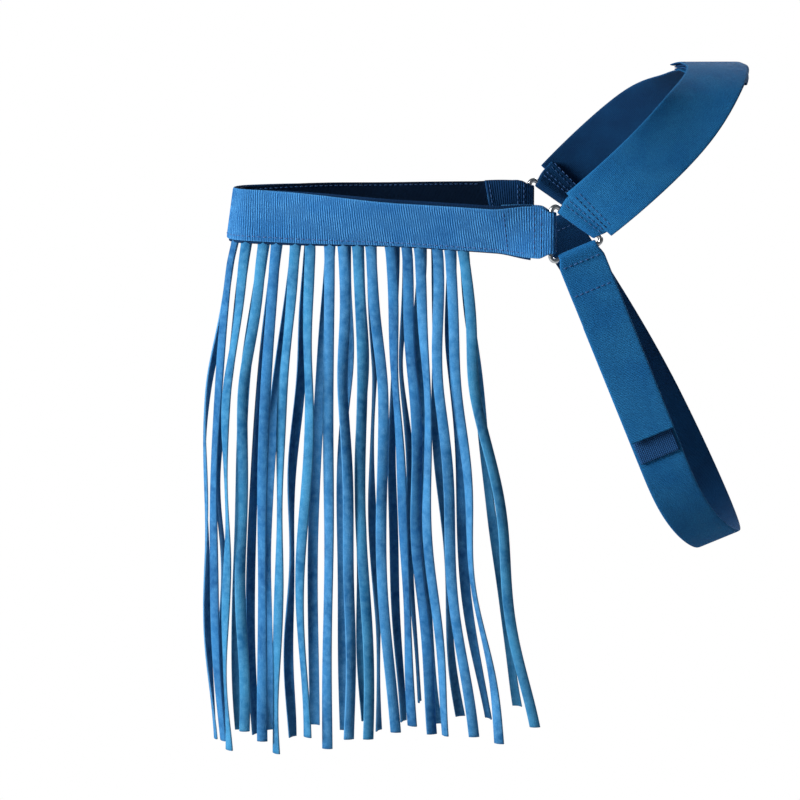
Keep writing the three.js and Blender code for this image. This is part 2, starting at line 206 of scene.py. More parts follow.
def band_frame(along):
    """Point, forward, flat outward, lean, up and out of the band: left is positive."""
    side = -1 if along < 0 else 1
    distance = abs(along)
    turn = min(distance, BAND_ARC) / NOSE_RADIUS
    straight = max(distance - BAND_ARC, 0)
    flat = Vector((side * math.sin(turn), -math.cos(turn), 0))
    forward = Vector((math.cos(turn), side * math.sin(turn), 0))
    rise = NOSE_RISE * (1 - (distance / BAND_HALF) ** 2)
    point = Vector((0, NOSE_Y, RING_MIDDLE.y + rise))
    point += flat * NOSE_RADIUS + forward * side * straight
    lean = band_lean(distance)
    up = UP * math.cos(lean) + flat * math.sin(lean)
    out = flat * math.cos(lean) - UP * math.sin(lean)
    return point, forward, flat, lean, up, out


def band_point(along, height, depth):
    point, _, _, _, up, out = band_frame(along)
    return point + up * height + out * depth


def gathered(distance, width, pinch):
    """Webbing narrows where it passes round a ring side shorter than its width."""
    return lerp(pinch, width, smoothstep(distance, -1, 7))


def band_route(start, end, depth, width, height=0, pinch=None):
    route = []
    for along in span(start, end, 1.5):
        narrow = width if pinch is None else gathered(BAND_HALF - abs(along), width, pinch)
        route.append((band_point(along, height, depth), band_frame(along)[4], narrow))
    return route


def fold_route(centre, across, away, out, width):
    """Round a ring's wire, from the inner leg to the outer one."""
    turns = [math.radians(turn) for turn in range(-80, 81, 10)]
    return [
        (centre - away * FOLD * math.cos(turn) + out * FOLD * math.sin(turn), across, width)
        for turn in turns
    ]


def band_fold(side):
    point, forward, flat, _, _, _ = band_frame(side * BAND_HALF)
    return fold_route(point, UP, forward * -side, flat, BAND_PINCH)


def browband_route():
    reach = BAND_HALF - BAND_TAIL
    tail_right = band_route(-BAND_HALF, -reach, -FOLD, BAND_WIDTH, pinch=BAND_PINCH)
    tail_left = band_route(reach, BAND_HALF, -FOLD, BAND_WIDTH, pinch=BAND_PINCH)
    outer = band_route(-BAND_HALF, BAND_HALF, FOLD, BAND_WIDTH, pinch=BAND_PINCH)
    return (
        tail_right[::-1]
        + band_fold(-1)
        + outer
        + band_fold(1)[::-1]
        + tail_left[::-1]
    )


CROWN_REACH = RING_X - CROWN_FLAT
CROWN_CENTRE = (CROWN_HEIGHT**2 - CROWN_REACH**2) / (2 * CROWN_HEIGHT)
CROWN_RADIUS = CROWN_HEIGHT - CROWN_CENTRE
CROWN_TURN = math.pi / 2 + math.asin(CROWN_CENTRE / CROWN_RADIUS)
CROWN_ARC = CROWN_RADIUS * CROWN_TURN
CROWN_HALF = CROWN_ARC + CROWN_FLAT
CROWN_LENGTH = 2 * CROWN_HALF
CROWN_START = RING_MIDDLE + CROWN_SIDE[0]


def crown_away(along):
    """How far the nearer ring is, along the crown."""
    return min(along, CROWN_LENGTH - along)


def crown_point(along, lift):
    """The arch's middle surface: along is measured from the left ring, lift outwards."""
    side = 1 if along <= CROWN_HALF else -1
    distance = crown_away(along)
    turn = min(distance, CROWN_ARC) / CROWN_RADIUS - CROWN_TURN + math.pi / 2
    flat = max(distance - CROWN_ARC, 0)
    x = side * (CROWN_FLAT + (CROWN_RADIUS + lift) * math.cos(turn) - flat)
    height = CROWN_CENTRE + (CROWN_RADIUS + lift) * math.sin(turn)
    y = CROWN_START.x + height * math.cos(CROWN_SLOPE)
    z = CROWN_START.y + height * math.sin(CROWN_SLOPE)
    return Vector((x, y, z))


def crown_tangent(along):
    return (crown_point(along + 0.5, 0) - crown_point(along - 0.5, 0)).normalized()


def crown_across(along):
    """Along the ring side at the ring, and level, front to back, on the poll."""
    distance = crown_away(along)
    start = math.atan2(-CROWN_SIDE[1].y, -CROWN_SIDE[1].x)
    angle = -start * (1 - smoothstep(distance, 40, CROWN_ARC - 36))
    across = Vector((0, math.cos(angle), -math.sin(angle)))
    tangent = crown_tangent(along)
    across -= tangent * across.dot(tangent) * smoothstep(distance, 0, 12)
    return across.normalized()


def crown_station(along, lift):
    """Point, across and out of the crown strap."""
    across = crown_across(along)
    out = crown_tangent(along).cross(across).normalized()
    point = crown_point(along, 0)
    if out.dot(crown_point(along, 1) - point) < 0:
        out.negate()
    return point + out * lift, across, out


def crown_route(start, end, lift, width):
    route = []
    for along in span(start, end, 1.5):
        point, across, _ = crown_station(along, lift(along))
        route.append((point, across, width(along)))
    return route


LOOP_PATCH_LIFT = WEB / 2 + GAP + PATCH / 2
HOOK_PATCH_LIFT = LOOP_PATCH_LIFT + PATCH + GAP
CROWN_LIFT = HOOK_PATCH_LIFT + PATCH / 2 + GAP + WEB / 2
LAP_START = CROWN_HALF - CROWN_OVERLAP
LAP_END = CROWN_HALF + CROWN_OVERLAP


def crown_climb(distance):
    """0 over the loop and 1 where the closure starts."""
    return smoothstep(distance, LOOP_LEG + 6, LAP_START - 6)


def left_lift(along):
    """Near a ring the wide strap lies on the loop; the left half climbs over the right one."""
    return lerp(LAYER, CROWN_LIFT, crown_climb(along))


def right_lift(along):
    """The right half comes down from its loop to the arch."""
    return LAYER * (1 - crown_climb(CROWN_LENGTH - along))


def loop_lift(along, facing):
    """The loop's outer leg, where facing is 1, lies on its inner one."""
    close = smoothstep(crown_away(along), 0, 8)
    return lerp(FOLD, 0, close) if facing > 0 else -lerp(FOLD, LAYER, close)


def crown_loop_route(side):
    start = 0 if side > 0 else CROWN_LENGTH
    end = start + side * LOOP_LEG

    def width(along):
        return gathered(crown_away(along), LOOP_WIDTH, CROWN_PINCH)

    outer = crown_route(start, end, lambda along: loop_lift(along, 1), width)
    inner = crown_route(start, end, lambda along: loop_lift(along, -1), width)
    centre, across, out = crown_station(start, 0)
    leave = across.cross(out).normalized()
    if leave.dot(crown_point(start + side * 5, 0) - centre) < 0:
        leave.negate()
    return inner[::-1] + fold_route(centre, across, leave, out, CROWN_PINCH) + outer


THROAT_ARC = math.pi * RING_X
THROAT_LENGTH = 2 * THROAT_DROP + THROAT_ARC
THROAT_START = RING_MIDDLE + THROAT_SIDE[0]
THROAT_ACROSS = in_plane(0, THROAT_SIDE[1])


def throat_station(along, lift):
    """Point, across and out of the throat strap: a U that hangs from the two rings."""
    turn = min(max(along - THROAT_DROP, 0), THROAT_ARC) / RING_X
    straight = min(along, THROAT_DROP) - max(along - THROAT_DROP - THROAT_ARC, 0)
    x = (RING_X + lift) * math.cos(turn)
    drop = straight + (RING_X + lift) * math.sin(turn)
    share = max(along - THROAT_DROP, 0) / (THROAT_LENGTH - THROAT_DROP)
    skew = THROAT_SKEW * math.sin(math.pi * share) * smoothstep(share, 0, 0.3)
    point = in_plane(x, THROAT_START + THROAT_SIDE[2] * drop + THROAT_SIDE[1] * skew)
    out = in_plane(math.cos(turn), THROAT_SIDE[2] * math.sin(turn))
    return point, THROAT_ACROSS, out


def throat_width(along):
    return gathered(min(along, THROAT_LENGTH - along), THROAT_WIDTH, THROAT_PINCH)


def leg_lift(along):
    """The legs close up behind the wire."""
    distance = min(along, THROAT_LENGTH - along)
    return lerp(FOLD, LAYER / 2, smoothstep(distance, 0, 9))


def throat_route(start, end, lift, width=throat_width):
    route = []
    for along in span(start, end, 2):
        point, across, _ = throat_station(along, lift(along))
        route.append((point, across, width(along)))
    return route


def throat_fold(side):
    centre, across, _ = throat_station(0 if side > 0 else THROAT_LENGTH, 0)
    away = in_plane(0, THROAT_SIDE[2])
    return fold_route(centre, across, away, Vector((side, 0, 0)), THROAT_PINCH)


THROAT_HOOK_LIFT = LAYER / 2 - WEB / 2 - GAP - PATCH / 2
THROAT_LOOP_LIFT = THROAT_HOOK_LIFT - PATCH - GAP
LONG_LIFT = THROAT_LOOP_LIFT - PATCH / 2 - GAP - WEB / 2


def throat_tab_route():
    inner = throat_route(0, THROAT_TAIL, lambda along: -leg_lift(along))
    return inner[::-1] + throat_fold(1) + throat_route(0, TAB_LENGTH, leg_lift)


def long_lift(along):
    if along > THROAT_LENGTH - THROAT_DROP:
        return leg_lift(along)
    climb = smoothstep(along, THROAT_DROP + 15, THROAT_DROP + 110)
    return lerp(LONG_LIFT, LAYER / 2, climb)


def throat_long_route():
    outer = throat_route(LONG_END, THROAT_LENGTH, long_lift)
    tail = throat_route(
        THROAT_LENGTH - THROAT_TAIL, THROAT_LENGTH, lambda along: -leg_lift(along)
    )
    return outer + throat_fold(-1)[::-1] + tail[::-1]


# ---- Meshes ----


def make_object(name, points, faces, material, uv=None):
    mesh = bpy.data.meshes.new(name)
    mesh.from_pydata(np.asarray(points) * MM, [], faces)
    mesh.shade_smooth()
    if uv is not None:
        layer = mesh.uv_layers.new(name="weave")
        corners = np.zeros(len(mesh.loops), np.int32)
        mesh.loops.foreach_get("vertex_index", corners)
        layer.uv.foreach_set("vector", np.asarray(uv, np.float32)[corners].ravel())
    mesh.materials.append(material)
    obj = bpy.data.objects.new(name, mesh)
    bpy.context.scene.collection.objects.link(obj)
    return obj


def tube_faces(rings, around, closed=False):
    """Quads between rings of points, with a cap at each end unless the tube is closed."""
    faces = []
    for i in range(rings if closed else rings - 1):
        here, there = i * around, (i + 1) % rings * around
        for j in range(around):
            k = (j + 1) % around
            faces.append((here + j, there + j, there + k, here + k))
    if not closed:
        faces.append(tuple(range(around)))
        faces.append(tuple((rings - 1) * around + j for j in reversed(range(around))))
    return faces


def resampled(route, step):
    """The route's points, across directions and widths at even steps of its length."""
    points = np.array([point for point, _, _ in route])
    across = np.array([direction for _, direction, _ in route])
    widths = np.array([width for _, _, width in route], float)
    lengths = np.linalg.norm(np.diff(points, axis=0), axis=1)
    keep = np.concatenate(([True], lengths > 1e-4))
    points, across, widths = points[keep], across[keep], widths[keep]
    lengths = np.linalg.norm(np.diff(points, axis=0), axis=1)
    travel = np.concatenate(([0.0], np.cumsum(lengths)))
    stops = np.linspace(0, travel[-1], max(2, round(travel[-1] / step) + 1))

    def at(values):
        return np.stack([np.interp(stops, travel, column) for column in values.T], axis=1)

    across = at(across)
    across /= np.linalg.norm(across, axis=1)[:, None]
    return stops, at(points), across, np.interp(stops, travel, widths)


SECTION = [-1, -0.985, -0.955, -0.9, -0.8, -0.55, -0.25, 0, 0.25, 0.55, 0.8, 0.9, 0.955, 0.985, 1]


def strip(name, route, thickness, material, step=FINE_STEP, relief=None, bow=0.0):
    """A strip with rounded edges along a route. Relief raises both of its faces, and bow is how
    far its middle stands out from its edges."""
    travel, points, across, widths = resampled(route, step)
    tangents = np.gradient(points, axis=0)
    outs = np.cross(tangents, across)
    outs /= np.linalg.norm(outs, axis=1)[:, None]
    shares = np.array(SECTION + SECTION[-2:0:-1])
    sides = np.array([1] * len(SECTION) + [-1] * (len(SECTION) - 2))
    round_off = np.sqrt(1 - np.abs(shares) ** 24)
    offset = shares[None, :] * widths[:, None] / 2
    height = np.full_like(offset, thickness / 2)
    if relief is not None:
        height = height + relief(travel[:, None], offset)
    height = height * (sides * round_off)[None, :] + bow * (1 - shares**2)[None, :]
    grid = (
        points[:, None, :]
        + across[:, None, :] * offset[:, :, None]
        + outs[:, None, :] * height[:, :, None]
    )
    uv = np.stack([np.broadcast_to(travel[:, None], offset.shape), offset], axis=2)
    faces = tube_faces(len(travel), len(shares))
    obj = make_object(name, grid.reshape(-1, 3), faces, material, uv.reshape(-1, 2) * MM)
    # Marks the faces turned towards the horse, which the webbing materials paint darker as painted
    # shade.
    facing = ((HEAD_MIDDLE - grid) * outs[:, None, :]).sum(axis=2) * sides[None, :]
    inner = obj.data.attributes.new("inner", "FLOAT", "POINT")
    inner.data.foreach_set("value", (facing > 0).astype(np.float32).ravel())
    return obj


def ribs(travel, offset):
    """Ribs across the browband, with a plain edge."""
    wave = np.abs(np.sin(math.pi * travel / RIB_PITCH)) - 0.7
    edge = np.clip((BAND_WIDTH / 2 - 0.6 - np.abs(offset)) / 0.8, 0, 1)
    return RIB_DEPTH * wave * edge


def stitches(name, rows, material):
    """Short thread ends along rows of (point, out), each dipping into the cloth."""
    turns = [2 * math.pi * k / 8 for k in range(8)]
    profile = [(-1, 0.3, -1.0), (-0.7, 0.9, 0.0), (0, 1, 0.25), (0.7, 0.9, 0.0), (1, 0.3, -1.0)]
    points, faces = [], []
    for row in rows:
        places = np.array([point for point, _ in row])
        outs = np.array([out for _, out in row])
        steps = np.linalg.norm(np.diff(places, axis=0), axis=1)
        travel = np.concatenate(([0.0], np.cumsum(steps)))
        for start in np.arange(0.3, travel[-1] - STITCH_LENGTH, STITCH_PITCH):
            ends = [start, start + STITCH_LENGTH]
            a, b = (
                np.array([np.interp(end, travel, column) for column in places.T])
                for end in ends
            )
            out = np.array([np.interp(start, travel, column) for column in outs.T])
            along = (b - a) / np.linalg.norm(b - a)
            beside = np.cross(along, out)
            first = len(points)
            for share, size, rise in profile:
                middle = (a + b) / 2 + along * share * STITCH_LENGTH / 2 + out * rise * THREAD
                for turn in turns:
                    spoke = beside * math.cos(turn) + out * math.sin(turn)
                    points.append(middle + spoke * THREAD * size)
            for face in tube_faces(len(profile), len(turns)):
                faces.append(tuple(first + k for k in face))
    return make_object(name, points, faces, material)


# ---- Materials ----


def srgb(red, green, blue):
    """A colour for a shader, from its 0 to 255 values."""

    def linear(value):
        value /= 255
        return value / 12.92 if value <= 0.04045 else ((value + 0.055) / 1.055) ** 2.4

    return (linear(red), linear(green), linear(blue), 1.0)


HAZE = srgb(90, 170, 235)  # tint of the sheen of loose fibres


class Surface:
    """A material's node tree, with the few kinds of node that these materials use."""

    def __init__(self, name, **shader):
        self.material = bpy.data.materials.new(name)
        self.material.use_nodes = True
        self.tree = self.material.node_tree
        self.shader = self.tree.nodes["Principled BSDF"]
        for socket, value in shader.items():
            self.shader.inputs[socket.replace("_", " ")].default_value = value

    def fill(self, node, values):
        for socket, value in values:
            if isinstance(value, bpy.types.NodeSocket):
                self.tree.links.new(value, node.inputs[socket])
            elif value is not None:
                node.inputs[socket].default_value = value

    def maths(self, operation, *values):
        node = self.tree.nodes.new("ShaderNodeMath")
        node.operation = operation
        self.fill(node, enumerate(values))
        return node.outputs[0]

    def mix(self, factor, a, b):
        node = self.tree.nodes.new("ShaderNodeMix")
        node.data_type = "RGBA"
        self.fill(node, [(0, factor), (6, a), (7, b)])
        return node.outputs[2]

    def noise(self, scale, detail=3.0):
        where = self.tree.nodes.new("ShaderNodeTexCoord")
        node = self.tree.nodes.new("ShaderNodeTexNoise")
        values = [("Vector", where.outputs["Object"]), ("Scale", scale), ("Detail", detail)]
        self.fill(node, values)
        return node.outputs[0]

    def remap(self, value, low, high, to_low=0.0, to_high=1.0):
        node = self.tree.nodes.new("ShaderNodeMapRange")
        self.fill(node, enumerate([value, low, high, to_low, to_high]))
        return node.outputs[0]

    def weave(self):
        """Millimetres along and across the strip."""
        where = self.tree.nodes.new("ShaderNodeUVMap")
        where.uv_map = "weave"
        parts = self.tree.nodes.new("ShaderNodeSeparateXYZ")
        self.fill(parts, [(0, where.outputs[0])])
        return [self.maths("MULTIPLY", parts.outputs[k], 1 / MM) for k in (0, 1)]

    def inner(self):
        """1 on the faces that lie against the horse."""
        node = self.tree.nodes.new("ShaderNodeAttribute")
        node.attribute_name = "inner"
        return node.outputs["Fac"]

    def wave(self, value, pitch):
        """1 at each whole pitch and 0 between."""
        turn = self.maths("COSINE", self.maths("MULTIPLY", value, 2 * math.pi / pitch))
        return self.remap(turn, -1.0, 1.0)

    def bump(self, height, depth, normal=None):
        node = self.tree.nodes.new("ShaderNodeBump")
        self.fill(node, [("Distance", depth * MM), ("Height", height), ("Normal", normal)])
        return node.outputs[0]

    def finish(self, **sockets):
        values = [(name.replace("_", " "), value) for name, value in sockets.items()]
        self.fill(self.shader, values)
        return self.material


def webbing_material(name, ridge, pale, dark_yarn_and_groove_shade, inner_face_shade, half_width, pitch, contrast):
    """Ribbed woven webbing: ribs across it, fine yarns along the ribs and worn selvedges. Painted
    shade darkens the troughs between the ribs and the faces turned towards the horse."""
    surface = Surface(name, Sheen_Weight=0.08, Sheen_Tint=HAZE, Specular_IOR_Level=0.12)
    along, across = surface.weave()
    yarn = surface.wave(across, 0.55)
    patches = surface.remap(surface.noise(60.0, 5.0), 0.35, 0.65)
    fibres = surface.noise(1900.0, 3.0)
    colour = surface.mix(surface.maths("MULTIPLY", patches, 0.6), ridge, pale)
    colour = surface.mix(surface.maths("MULTIPLY", yarn, 0.25), colour, dark_yarn_and_groove_shade)
    wander = surface.remap(surface.noise(170.0, 2.0), 0.3, 0.7, -0.35 * pitch, 0.35 * pitch)
    uneven = surface.maths("ADD", along, wander)
    # Painted shade: the troughs between the ribs are darkened towards the dark yarn and groove shade
    # colour, which also gives the dark yarns and fibres.
    rib = surface.maths("POWER", surface.wave(uneven, pitch), 1.5)
    colour = surface.mix(surface.maths("MULTIPLY", rib, contrast), colour, dark_yarn_and_groove_shade)
    edge = surface.remap(surface.maths("ABSOLUTE", across), half_width - 1.0, half_width)
    wear = surface.maths("MULTIPLY", edge, surface.remap(fibres, 0.4, 0.6, 0.1, 0.55))
    colour = surface.mix(wear, colour, pale)
    colour = surface.mix(surface.remap(fibres, 0.38, 0.62, 0.0, 0.45), colour, dark_yarn_and_groove_shade)
    # Painted shade: the faces turned towards the horse are darkened towards the inner face shade
    # colour.
    shaded = surface.maths("MULTIPLY", surface.inner(), surface.remap(patches, 0, 1, 0.82, 0.95))
    colour = surface.mix(shaded, colour, inner_face_shade)
    weave = surface.bump(surface.wave(along, pitch), -0.15, surface.bump(yarn, 0.12))
    normal = surface.bump(fibres, 0.12, weave)
    rough = surface.remap(fibres, 0.3, 0.7, 0.78, 0.95)
    return surface.finish(Base_Color=colour, Roughness=rough, Normal=normal)


def suede_material(name, deep, pale, worn):
    """Brushed lace: soft nap, slow changes of shade along it and paler cut edges."""
    surface = Surface(name, Sheen_Weight=0.25, Sheen_Tint=HAZE, Specular_IOR_Level=0.15)
    _, across = surface.weave()
    nap = surface.noise(1500.0, 5.0)
    shade = surface.remap(surface.noise(40.0, 6.0), 0.38, 0.62)
    brushed = surface.remap(surface.noise(260.0, 5.0), 0.35, 0.75, 0.0, 0.6)
    colour = surface.mix(shade, deep, pale)
    colour = surface.mix(brushed, colour, worn)
    colour = surface.mix(surface.remap(nap, 0.35, 0.65, 0.0, 0.35), colour, deep)
    edge = surface.remap(surface.maths("ABSOLUTE", across), 2.7, 3.2, 0.0, 0.45)
    colour = surface.mix(edge, colour, worn)
    normal = surface.bump(nap, 0.22)
    rough = surface.remap(nap, 0.3, 0.7, 0.8, 0.97)
    return surface.finish(Base_Color=colour, Roughness=rough, Normal=normal)


def patch_material(name, deep, pale):
    """Hook or loop tape: a dense pile in fine rows, painted darker where the pile is low as painted
    shade.
    """
    surface = Surface(name, Sheen_Weight=0.2, Sheen_Tint=HAZE, Specular_IOR_Level=0.12)
    along, across = surface.weave()
    pile = surface.maths("MULTIPLY", surface.wave(along, 1.1), surface.wave(across, 1.1))
    fibres = surface.noise(1800.0, 4.0)
    height = surface.maths("ADD", pile, surface.maths("MULTIPLY", fibres, 0.6))
    # Painted shade: the pile is coloured darker where it is low, between its rows.
    colour = surface.mix(surface.remap(height, 0.3, 1.1), deep, pale)
    rough = surface.remap(fibres, 0.3, 0.7, 0.75, 0.95)
    return surface.finish(Base_Color=colour, Roughness=rough, Normal=surface.bump(height, 0.5))


def thread_material(name, deep, pale):
    """Twisted sewing thread."""
    surface = Surface(name, Sheen_Weight=0.2)
    twist = surface.noise(1600.0, 2.0)
    colour = surface.mix(surface.remap(twist, 0.35, 0.65), deep, pale)
    rough = surface.remap(twist, 0.3, 0.7, 0.45, 0.7)
    return surface.finish(Base_Color=colour, Roughness=rough, Normal=surface.bump(twist, 0.1))


def steel_material(name):
    """Plated wire with fine draw marks and a few dull spots."""
    surface = Surface(name, Metallic=1.0)
    marks = surface.noise(900.0, 3.0)
    dull = surface.remap(surface.noise(160.0, 4.0), 0.45, 0.7)
    colour = surface.mix(dull, srgb(226, 228, 230), srgb(168, 171, 174))
    tarnish = surface.maths("MULTIPLY", dull, 0.15)
    rough = surface.maths("ADD", surface.remap(marks, 0.3, 0.7, 0.1, 0.22), tarnish)
    return surface.finish(Base_Color=colour, Roughness=rough, Normal=surface.bump(marks, 0.02))


# Painted shade: the dark colour given to the webbing's faces turned towards the horse.
INNER_FACE_SHADE = srgb(8, 46, 86)
BAND_CLOTH = webbing_material(
    "band_webbing",
    ridge=srgb(64, 138, 200),
    pale=srgb(88, 160, 214),
    dark_yarn_and_groove_shade=srgb(14, 70, 128),
    inner_face_shade=INNER_FACE_SHADE,
    half_width=BAND_WIDTH / 2,
    pitch=RIB_PITCH,
    contrast=0.9,
)
STRAP_CLOTH = webbing_material(
    "strap_webbing",
    ridge=srgb(32, 116, 178),
    pale=srgb(48, 136, 194),
    dark_yarn_and_groove_shade=srgb(6, 58, 108),
    inner_face_shade=INNER_FACE_SHADE,
    half_width=CROWN_WIDTH / 2,
    pitch=STRAP_RIB_PITCH,
    contrast=0.35,
)
LINING_CLOTH = webbing_material(
    "lining_webbing",
    ridge=srgb(8, 44, 82),
    pale=srgb(14, 56, 98),
    dark_yarn_and_groove_shade=srgb(3, 20, 44),
    # Painted shade on the lining's faces turned towards the horse.
    inner_face_shade=srgb(4, 28, 54),
    half_width=BAND_WIDTH / 2,
    pitch=STRAP_RIB_PITCH,
    contrast=0.4,
)
LACES = [
    suede_material("lace_blue", srgb(26, 88, 138), srgb(58, 126, 178), srgb(92, 154, 200)),
    suede_material("lace_teal", srgb(24, 90, 136), srgb(54, 128, 172), srgb(88, 154, 194)),
    suede_material("lace_deep", srgb(18, 74, 124), srgb(44, 110, 162), srgb(76, 140, 188)),
]
HOOKS = patch_material("hook_tape", srgb(14, 44, 84), srgb(34, 84, 138))
LOOPS = patch_material("loop_tape", srgb(20, 58, 104), srgb(50, 104, 160))
THREADS = thread_material("sewing_thread", srgb(14, 66, 120), srgb(30, 90, 150))
STEEL = steel_material("ring_wire")


# ---- Camera ----


def point_at(obj, place, target):
    obj.location = place
    obj.rotation_mode = "QUATERNION"
    obj.rotation_quaternion = (Vector(target) - Vector(place)).to_track_quat("-Z", "Y")
    bpy.context.scene.collection.objects.link(obj)


CAMERA_TARGET = (0, -0.1839, -0.1936)
CAMERA_DISTANCE = 1.8
CAMERA_AZIMUTH = math.radians(87.6)
CAMERA_ELEVATION = math.radians(10)


def add_camera():
    data = bpy.data.cameras.new("camera")
    data.sensor_width = 36
    data.lens = 136.08
    camera = bpy.data.objects.new("camera", data)
    level = CAMERA_DISTANCE * math.cos(CAMERA_ELEVATION)
    offset = Vector(
        (
            level * math.sin(CAMERA_AZIMUTH),
            -level * math.cos(CAMERA_AZIMUTH),
            CAMERA_DISTANCE * math.sin(CAMERA_ELEVATION),
        )
    )
    point_at(camera, Vector(CAMERA_TARGET) + offset, CAMERA_TARGET)
    bpy.context.scene.camera = camera


# ---- The strings ----


def string_along(side, number):
    return side * (STRING_FIRST + STRING_PITCH * number + HANG[side]["shift"][number])


def string_length(side, number):
    return STRING_DROP + HANG[side]["extra"][number]


def string_point(side, number, drop):
    """The string's middle at a distance below its exit from the band, as in the CAD source."""
    hang = HANG[side]
    along = string_along(side, number)
    _, _, flat, lean, _, _ = band_frame(along)
    exit_height = BAND_WIDTH / 2 + (TAPE_WIDTH - BAND_WIDTH) / 2 - TAPE_SHIFT + STRING_GAP
    top = band_point(along, -exit_height, LAYER / 2)
    share = drop / string_length(side, number)
    back = hang["back"][number] * share**1.3 + hang["bow"][number] * math.sin(math.pi * share)
    settle = -math.tan(lean) * STRING_SETTLE * (1 - math.exp(-drop / STRING_SETTLE))
    return top - UP * drop + BACK * back + flat * settle


def string_wander(rng):
    """Small waves that a limp lace keeps: sideways, outwards and in its twist."""
    waves = [(rng.uniform(0, 2 * math.pi), rng.uniform(110, 260)) for _ in range(5)]
    twist = rng.uniform(0.3, 0.9) * rng.choice((-1, 1))

    def wave(k, drop):
        phase, period = waves[k]
        return math.sin(phase + 2 * math.pi * drop / period) - math.sin(phase)

    def at(drop):
        loose = smoothstep(drop, 5, 90)
        sideways = 1.2 * loose * (wave(0, drop) + wave(1, drop))
        outwards = 0.9 * loose * (wave(2, drop) + wave(3, drop))
        return sideways, outwards, twist * loose * (0.7 + 0.5 * wave(4, drop))

    return at


def string_route(side, number, rng):
    along = string_along(side, number)
    _, forward, flat, _, _, _ = band_frame(along)
    wander = string_wander(rng)
    sewn = [
        (band_point(along, SEWN_LOW + STRING_SEWN - up, 0), forward, STRING_WIDTH)
        for up in span(0, STRING_SEWN - 2, 1.5)
    ]
    hanging = []
    for drop in span(0, string_length(side, number), 2):
        sideways, outwards, turn = wander(drop)
        inward = flat * (LAYER / 2) * (smoothstep(drop, 0, 14) - 1)
        point = string_point(side, number, drop) + forward * sideways + flat * outwards + inward
        across = forward * math.cos(turn) + flat * math.sin(turn)
        hanging.append((point, across, STRING_WIDTH))
    return sewn, hanging


def add_string(side, number, rng):
    cad_name = f"string_{'left' if side > 0 else 'right'}_{number + 1:02d}"
    sewn, hanging = string_route(side, number, rng)
    lace = strip(
        cad_name.replace("string", "lace"),
        sewn + hanging,
        CLOTH,
        rng.choice(LACES),
        step=2,
        bow=LACE_BOW,
    )
    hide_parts(cad_name)
    exit_point = metres(string_point(side, number, 0))
    bend_start = metres(string_point(side, number, 0) + UP * 1)
    bend_end = metres(string_point(side, number, STRING_BEND))
    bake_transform(lace)
    [metres(point) for point, _, _ in sewn + hanging]


def add_strings():
    rng = random.Random(7)
    for side in (1, -1):
        for number in range(STRINGS):
            add_string(side, number, rng)


# ---- The rings ----


def ring_stations():
    corners = [
        (RING_TOP, CROWN_SIDE[2], FRONT_SIDE[2]),
        (RING_LOW, FRONT_SIDE[2], THROAT_SIDE[2]),
        (RING_REAR, THROAT_SIDE[2], CROWN_SIDE[2]),
    ]
    for corner, before, after in corners:
        turn = before.angle(after)
        centre = corner - (before + after) * CORNER / (1 + math.cos(turn))
        for k in range(17):
            angle = turn * k / 16
            out = Vector(
                (
                    before.x * math.cos(angle) - before.y * math.sin(angle),
                    before.x * math.sin(angle) + before.y * math.cos(angle),
                )
            )
            yield centre + out * CORNER, out


def add_ring(side):
    points = []
    around = 24
    stations = list(ring_stations())
    for middle, out in stations:
        for k in range(around):
            turn = 2 * math.pi * k / around
            place = RING_MIDDLE + middle + out * WIRE * math.cos(turn)
            points.append(in_plane(side * RING_X + WIRE * math.sin(turn), place))
    name = "left" if side > 0 else "right"
    faces = tube_faces(len(stations), around, closed=True)
    ring = make_object(f"wire_ring_{name}", points, faces, STEEL)
    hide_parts(f"ring_{name}")
    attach(ring, "headband")


# ---- The webbing ----


def add_web(name, node, body, route, thickness, material, relief=None):
    step = FINE_STEP if relief else PLAIN_STEP
    piece = strip(name, route, thickness, material, step=step, relief=relief)
    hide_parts(node)
    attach(piece, body)


def add_patch(name, node, body, route, material):
    piece = strip(name, route, PATCH, material, step=PLAIN_STEP)
    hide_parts(node)
    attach(piece, body)


def add_stitches(name, body, rows):
    piece = stitches(name, rows, THREADS)
    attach(piece, body)


def add_browband():
    web = browband_route()
    add_web("browband_webbing", "browband_web", "headband", web, CLOTH, BAND_CLOTH, ribs)
    tape = band_route(-TAPE_END, TAPE_END, TAPE_DEPTH, TAPE_WIDTH, TAPE_SHIFT)
    lining = band_route(-TAPE_END, TAPE_END, -TAPE_DEPTH, BAND_WIDTH)
    add_web("string_tape", "fringe_tape", "headband", tape, TAPE_THICKNESS, LINING_CLOTH)
    add_web("band_lining", "browband_lining", "headband", lining, TAPE_THICKNESS, LINING_CLOTH)


OUTER_FACE = FOLD + WEB / 2
LINING_FACE = -TAPE_DEPTH - TAPE_THICKNESS / 2
TAIL_FACE = -FOLD - WEB / 2


def band_row(start, end, height, depth):
    """A stitch row along the band: depth picks the face."""
    row = []
    for along in span(start, end, 2):
        out = band_frame(along)[5]
        row.append((band_point(along, height, depth), out if depth > 0 else -out))
    return row


def band_cross_row(along, depth):
    """A stitch row across the band, near a ring."""
    out = band_frame(along)[5]
    half = gathered(BAND_HALF - abs(along), BAND_WIDTH, BAND_PINCH) / 2 - STITCH_INSET
    facing = out if depth > 0 else -out
    return [(band_point(along, height, depth), facing) for height in span(-half, half, 2)]


def add_browband_stitches():
    reach = BAND_HALF - 14
    rows = [band_row(-reach, reach, ROW_HEIGHTS[0], OUTER_FACE)]
    rows += [band_row(-reach + 18, reach - 18, height, LINING_FACE) for height in ROW_HEIGHTS]
    for side in (1, -1):
        for inset in (5, 9, BAND_TAIL - 2):
            along = side * (BAND_HALF - inset)
            rows += [band_cross_row(along, OUTER_FACE), band_cross_row(along, TAIL_FACE)]
    add_stitches("browband_stitching", "headband", rows)


